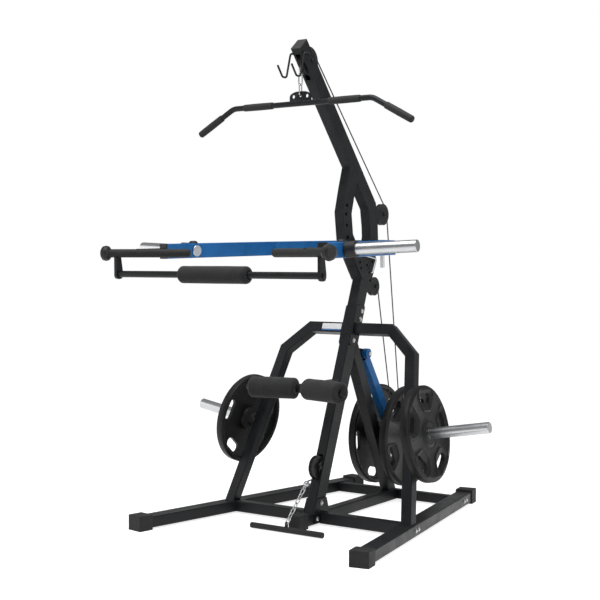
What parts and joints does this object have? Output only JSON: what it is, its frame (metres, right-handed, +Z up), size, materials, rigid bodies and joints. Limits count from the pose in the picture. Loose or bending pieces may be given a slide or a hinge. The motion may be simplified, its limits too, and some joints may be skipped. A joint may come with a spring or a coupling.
{
  "type": "lat pulldown machine",
  "caption": "Plate-loaded leverage gym: splayed base, arched frame, bent mast with boom, hinged press arm, swinging weight lever, cable pulldown bar, low row bar, foam leg rollers.",
  "frame": {"origin": "on the floor, in the plane of symmetry, midway between the front and the rear of the whole machine", "axes": "+X to one side along the press bar, -Y towards the user, +Z up"},
  "size_m": [1.584, 1.7214, 2.1722],
  "materials": {
    "black_paint": "satin powder coat",
    "blue_paint": "satin powder coat",
    "black_rubber": "matt",
    "foam": "matt closed-cell skin",
    "plate_iron": "black coating, fine grain",
    "chrome_steel": "bright, softly brushed",
    "zinc_steel": "zinc plated",
    "black_plastic": "moulded, fine grain",
    "cable_coat": "smooth coating over wire rope"
  },
  "bodies": {
    "root": {"rail_left": "black_paint", "rail_right": "black_paint", "centre_rail": "black_paint", "front_cross": "black_paint", "rear_cross": "black_paint", "end_caps": "black_rubber", "front_mast": "black_paint", "rear_mast": "black_paint", "rear_strut": "black_paint", "arch_left": "black_paint", "arch_right": "black_paint", "arch_gussets": "black_paint", "mast_plates": "black_paint", "frame_bolts": "zinc_steel", "storage_horns": "chrome_steel", "storage_flanges": "black_plastic", "pivot_pins": "zinc_steel", "roller_shaft": "black_paint", "roller_arm": "black_paint", "pulley_axles": "zinc_steel", "pulley_brackets": "black_paint", "lat_cable": "cable_coat", "row_cable": "cable_coat", "row_bar": "black_rubber", "row_chain": "chrome_steel", "boom_hooks": "black_paint"},
    "press_arm": {"press_arm_left": "blue_paint", "press_arm_right": "blue_paint", "press_horns": "chrome_steel", "horn_collars": "black_plastic", "arm_posts": "zinc_steel", "press_grips": "black_rubber", "arm_ends": "black_plastic", "handle_links": "black_paint", "arm_studs": "black_plastic", "lower_bar": "black_paint"},
    "foam": {"foam_roll": "foam"},
    "lever": {"lat_lever": "blue_paint", "lever_horn": "chrome_steel", "lever_collars": "black_plastic", "cable_tab": "blue_paint", "cable_forks": "zinc_steel", "lat_lift": "cable_coat", "row_lift": "cable_coat"},
    "lever_plate_left": {"lever_plate_left": "plate_iron"},
    "lever_plate_right": {"lever_plate_right": "plate_iron"},
    "lat_bar": {"lat_bar": "black_paint", "lat_grips": "black_rubber", "lat_hanger": "black_paint", "lat_chain": "chrome_steel", "lat_drop": "cable_coat"},
    "boom_pulley": {"boom_pulley": "black_plastic"},
    "upper_pulley": {"upper_pulley": "black_plastic"},
    "back_pulley": {"back_pulley": "black_plastic"},
    "low_pulley": {"low_pulley": "black_plastic"},
    "roller_left": {"leg_roller_left": "foam"},
    "roller_right": {"leg_roller_right": "foam"},
    "stored_left": {"stored_plate_left": "plate_iron"},
    "stored_right": {"stored_plate_right": "plate_iron"},
    "lock_rod": {"lock_rod": "chrome_steel"}
  },
  "joints": [
    {"name": "press_pivot", "type": "hinge", "parent": "root", "child": "press_arm", "pos_m": [0, 0.39456, 1.262], "axis": [-1, 0, 0], "range_deg": [0, 35]},
    {"name": "foam_spin", "type": "hinge", "parent": "press_arm", "child": "foam", "pos_m": [0, -0.80344, 1.139], "axis": [1, 0, 0], "continuous": true},
    {"name": "lever_pivot", "type": "hinge", "parent": "root", "child": "lever", "pos_m": [0, 0.32856, 0.752], "axis": [1, 0, 0], "range_deg": [0, 60], "deforming": ["lat_lift", "row_lift"]},
    {"name": "bar_travel", "type": "slide", "parent": "root", "child": "lat_bar", "axis": [0, 0, -1], "range_m": [0, 0.5], "deforming": ["lat_drop"]},
    {"name": "boom_pulley_spin", "type": "hinge", "parent": "root", "child": "boom_pulley", "pos_m": [0, -0.13244, 2.082], "axis": [1, 0, 0], "range_deg": [0, 480]},
    {"name": "upper_pulley_spin", "type": "hinge", "parent": "root", "child": "upper_pulley", "pos_m": [0, 0.50556, 1.42], "axis": [1, 0, 0], "range_deg": [0, 600]},
    {"name": "back_pulley_spin", "type": "hinge", "parent": "root", "child": "back_pulley", "pos_m": [0, 0.42556, 1.071], "axis": [1, 0, 0], "continuous": true},
    {"name": "low_pulley_spin", "type": "hinge", "parent": "root", "child": "low_pulley", "pos_m": [0, -0.06344, 0.259], "axis": [1, 0, 0], "continuous": true},
    {"name": "roller_spin_left", "type": "hinge", "parent": "root", "child": "roller_left", "pos_m": [0, -0.17644, 0.626], "axis": [-0.9724, -0.2334, 0], "continuous": true},
    {"name": "stored_slide_left", "type": "slide", "parent": "root", "child": "stored_left", "axis": [-0.9852, 0.0594, 0.1605], "range_m": [0, 0.2]},
    {"name": "lever_plate_slide_left", "type": "slide", "parent": "lever", "child": "lever_plate_left", "axis": [-1, 0, 0], "range_m": [0, 0.09]},
    {"name": "roller_spin_right", "type": "hinge", "parent": "root", "child": "roller_right", "pos_m": [0, -0.17644, 0.626], "axis": [0.9724, -0.2334, 0], "continuous": true},
    {"name": "stored_slide_right", "type": "slide", "parent": "root", "child": "stored_right", "axis": [0.9852, 0.0594, 0.1605], "range_m": [0, 0.2]},
    {"name": "lever_plate_slide_right", "type": "slide", "parent": "lever", "child": "lever_plate_right", "axis": [1, 0, 0], "range_m": [0, 0.09]},
    {"name": "lock_rod_slide", "type": "slide", "parent": "root", "child": "lock_rod", "axis": [1, 0, 0], "range_m": [0, 0.05]}
  ],
  "couplings": [
    {"joint": "bar_travel", "follows": "lever_pivot", "m_per_rad": 0.47},
    {"joint": "boom_pulley_spin", "follows": "lever_pivot", "ratio": 7.8333},
    {"joint": "upper_pulley_spin", "follows": "lever_pivot", "ratio": 9.7917}
  ]
}
